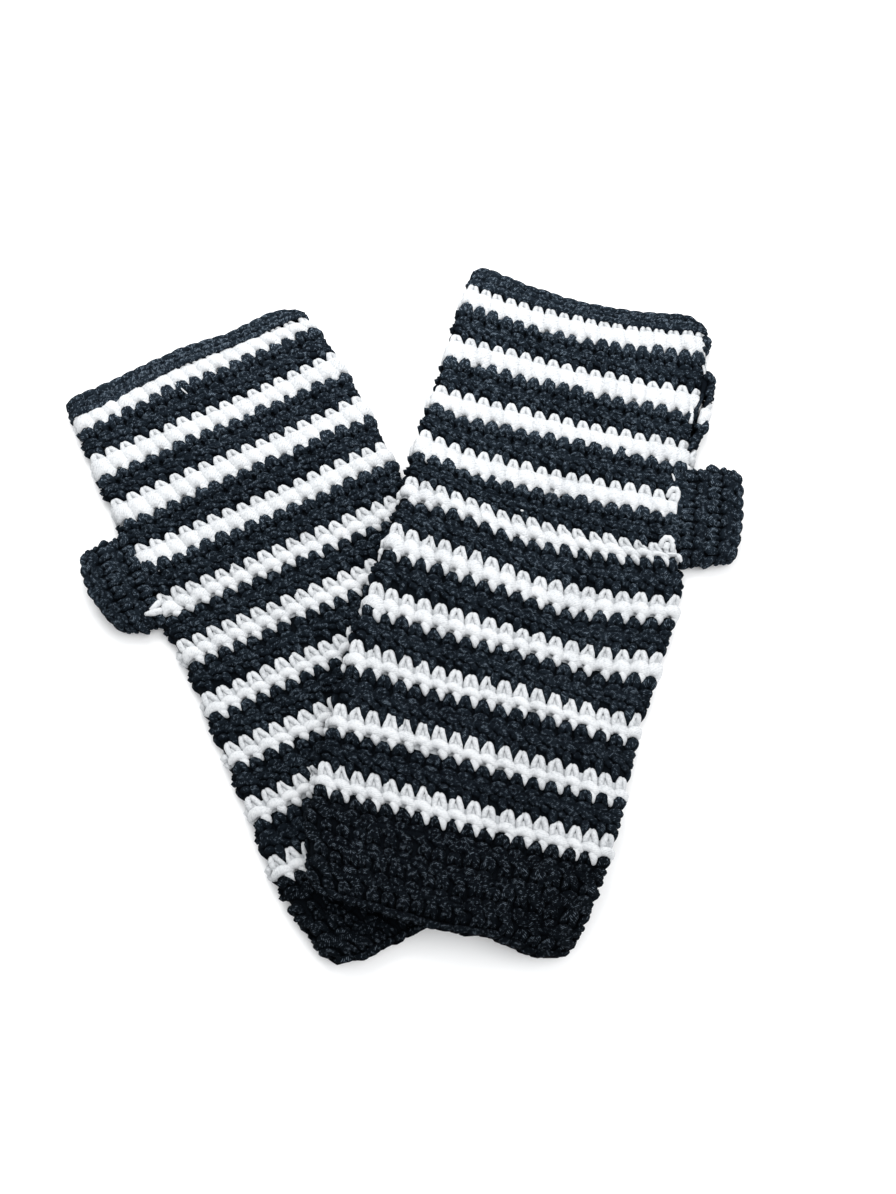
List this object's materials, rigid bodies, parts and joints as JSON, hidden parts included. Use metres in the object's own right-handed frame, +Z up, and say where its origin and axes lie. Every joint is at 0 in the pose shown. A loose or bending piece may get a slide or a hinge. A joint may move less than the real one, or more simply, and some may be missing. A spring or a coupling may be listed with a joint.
{
  "type": "pair of crochet fingerless mitts",
  "caption": "Striped crochet fingerless mitts laid flat and crossed, each a flattened tube with a plain cuff, a finger band and a short open thumb tube.",
  "frame": {"origin": "on the surface the pair lies on, under the middle of its bounding box", "axes": "+Y towards the finger ends, +X to the right as the pair is seen from above, +Z up from the surface"},
  "size_m": [0.251, 0.264, 0.0149],
  "materials": {
    "dark_yarn": "matte near-black navy yarn, slightly fuzzy",
    "striped_yarn": "matte crochet in white and near-black navy stripes of equal height"
  },
  "bodies": {
    "root": {"left_finger_band": "dark_yarn", "left_hand": "striped_yarn", "left_cuff": "dark_yarn", "left_thumb": "dark_yarn", "right_finger_band": "dark_yarn", "right_hand": "striped_yarn", "right_cuff": "dark_yarn", "right_thumb": "dark_yarn"}
  },
  "joints": []
}
